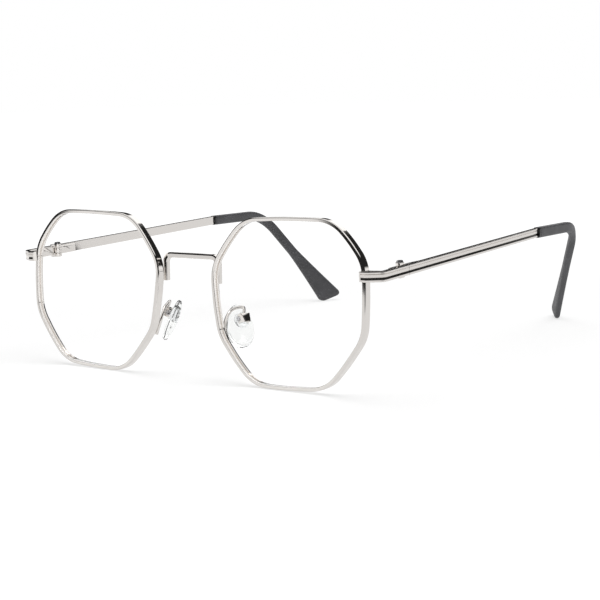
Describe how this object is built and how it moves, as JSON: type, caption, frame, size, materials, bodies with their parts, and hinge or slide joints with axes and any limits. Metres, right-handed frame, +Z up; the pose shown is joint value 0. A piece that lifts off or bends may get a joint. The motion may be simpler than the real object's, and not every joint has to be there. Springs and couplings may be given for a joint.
{
  "type": "metal-rimmed spectacles",
  "caption": "Full-rim spectacles with soft octagonal metal rims, clear lenses, straight bridge bar, rocking nose pads and folding temples with curved ear tips.",
  "frame": {"origin": "middle of the box round the whole part, on the surface that it stands on, with the temples open", "axes": "+X to the wearer's left, the front of the spectacles faces -Y, the temples run towards +Y, +Z up; it stands on both rims and both temple tips"},
  "size_m": [0.1318, 0.1419, 0.0471],
  "materials": {
    "polished_silver": "polished silver plating",
    "screw_steel": "turned steel",
    "clear_lens": "clear polished lens plastic",
    "clear_silicone": "clear satin silicone",
    "insert_plastic": "clear moulded plastic",
    "charcoal_acetate": "satin charcoal acetate"
  },
  "bodies": {
    "front": {"bridge": "polished_silver", "left_rim": "polished_silver", "left_lens": "clear_lens", "left_endpiece": "polished_silver", "left_lock_upper": "polished_silver", "left_lock_lower": "polished_silver", "left_lock_screw": "screw_steel", "left_front_hinge": "polished_silver", "left_hinge_screw": "screw_steel", "left_pad_arm": "polished_silver", "left_pad_box": "polished_silver", "left_pad_screw": "screw_steel", "right_rim": "polished_silver", "right_lens": "clear_lens", "right_endpiece": "polished_silver", "right_lock_upper": "polished_silver", "right_lock_lower": "polished_silver", "right_lock_screw": "screw_steel", "right_front_hinge": "polished_silver", "right_hinge_screw": "screw_steel", "right_pad_arm": "polished_silver", "right_pad_box": "polished_silver", "right_pad_screw": "screw_steel"},
    "left_temple": {"left_temple_arm": "polished_silver", "left_temple_hinge": "polished_silver", "left_core_wire": "screw_steel", "left_tip": "charcoal_acetate"},
    "right_temple": {"right_temple_arm": "polished_silver", "right_temple_hinge": "polished_silver", "right_core_wire": "screw_steel", "right_tip": "charcoal_acetate"},
    "left_pad": {"left_pad_insert": "insert_plastic", "left_nose_pad": "clear_silicone"},
    "right_pad": {"right_pad_insert": "insert_plastic", "right_nose_pad": "clear_silicone"}
  },
  "joints": [
    {"name": "left_temple_fold", "type": "hinge", "parent": "front", "child": "left_temple", "pos_m": [0.0632, -0.056, 0.03267], "axis": [0, -0.0214, 0.9998], "range_deg": [0, 87]},
    {"name": "right_temple_fold", "type": "hinge", "parent": "front", "child": "right_temple", "pos_m": [-0.0632, -0.056, 0.03267], "axis": [0, 0.0214, -0.9998], "range_deg": [0, 76]},
    {"name": "left_pad_rock", "type": "hinge", "parent": "front", "child": "left_pad", "pos_m": [0.0139, -0.06097, 0.01697], "axis": [0.4848, 0.8733, -0.0476], "range_deg": [-12, 12]},
    {"name": "right_pad_rock", "type": "hinge", "parent": "front", "child": "right_pad", "pos_m": [-0.0139, -0.06097, 0.01697], "axis": [-0.4848, 0.8733, -0.0476], "range_deg": [-12, 12]}
  ]
}
